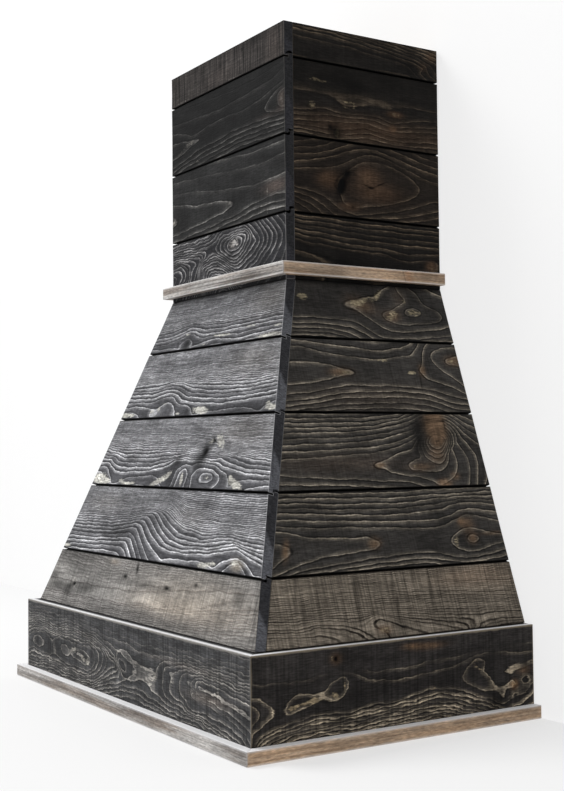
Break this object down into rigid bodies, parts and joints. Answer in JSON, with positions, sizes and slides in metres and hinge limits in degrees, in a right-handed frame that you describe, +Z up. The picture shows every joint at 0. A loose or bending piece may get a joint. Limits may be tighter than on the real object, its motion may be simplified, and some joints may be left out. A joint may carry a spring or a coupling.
{
  "type": "wooden range hood cover",
  "caption": "Wall-hung wooden range hood cover: a shiplap box chimney over a flared shiplap body and an upright apron, on a timber frame, open at the back, top and underside.",
  "frame": {"origin": "on the underside, at the middle of the footprint", "axes": "+Z up, +Y towards the wall that the open back stands against, +X to the right as seen from the front"},
  "size_m": [0.9144, 0.5762, 1.2],
  "materials": {
    "charcoal_board": "charcoal stained softwood shiplap, brushed so the grain shows pale",
    "charcoal_apron": "darker charcoal stained softwood, brushed so the grain shows pale",
    "weathered_trim": "weathered tan softwood, thinly washed grey",
    "bare_pine": "unfinished planed softwood"
  },
  "bodies": {
    "root": {"base_rail_front": "bare_pine", "base_rail_back": "bare_pine", "base_rail_left": "bare_pine", "base_rail_right": "bare_pine", "hip_rafter_left": "bare_pine", "hip_rafter_right": "bare_pine", "wall_rafter_left": "bare_pine", "wall_rafter_right": "bare_pine", "middle_rafter": "bare_pine", "break_rail_front": "bare_pine", "break_rail_back": "bare_pine", "break_rail_left": "bare_pine", "break_rail_right": "bare_pine", "chimney_post_front_left": "bare_pine", "chimney_post_back_left": "bare_pine", "chimney_post_front_right": "bare_pine", "chimney_post_back_right": "bare_pine", "top_rail_front": "bare_pine", "top_rail_back": "bare_pine", "top_rail_left": "bare_pine", "top_rail_right": "bare_pine", "flare_front_board_1": "charcoal_board", "flare_front_board_2": "charcoal_board", "flare_front_board_3": "charcoal_board", "flare_front_board_4": "charcoal_board", "flare_front_board_5": "charcoal_board", "flare_right_board_1": "charcoal_board", "flare_right_board_2": "charcoal_board", "flare_right_board_3": "charcoal_board", "flare_right_board_4": "charcoal_board", "flare_right_board_5": "charcoal_board", "flare_left_board_1": "charcoal_board", "flare_left_board_2": "charcoal_board", "flare_left_board_3": "charcoal_board", "flare_left_board_4": "charcoal_board", "flare_left_board_5": "charcoal_board", "chimney_front_board_1": "charcoal_board", "chimney_front_board_2": "charcoal_board", "chimney_front_board_3": "charcoal_board", "chimney_front_board_4": "charcoal_board", "chimney_right_board_1": "charcoal_board", "chimney_right_board_2": "charcoal_board", "chimney_right_board_3": "charcoal_board", "chimney_right_board_4": "charcoal_board", "chimney_left_board_1": "charcoal_board", "chimney_left_board_2": "charcoal_board", "chimney_left_board_3": "charcoal_board", "chimney_left_board_4": "charcoal_board", "collar_trim_front": "weathered_trim", "collar_trim_right": "weathered_trim", "collar_trim_left": "weathered_trim", "apron_front": "charcoal_apron", "apron_right": "charcoal_apron", "apron_left": "charcoal_apron", "base_trim_front": "weathered_trim", "base_trim_right": "weathered_trim", "base_trim_left": "weathered_trim"}
  },
  "joints": []
}
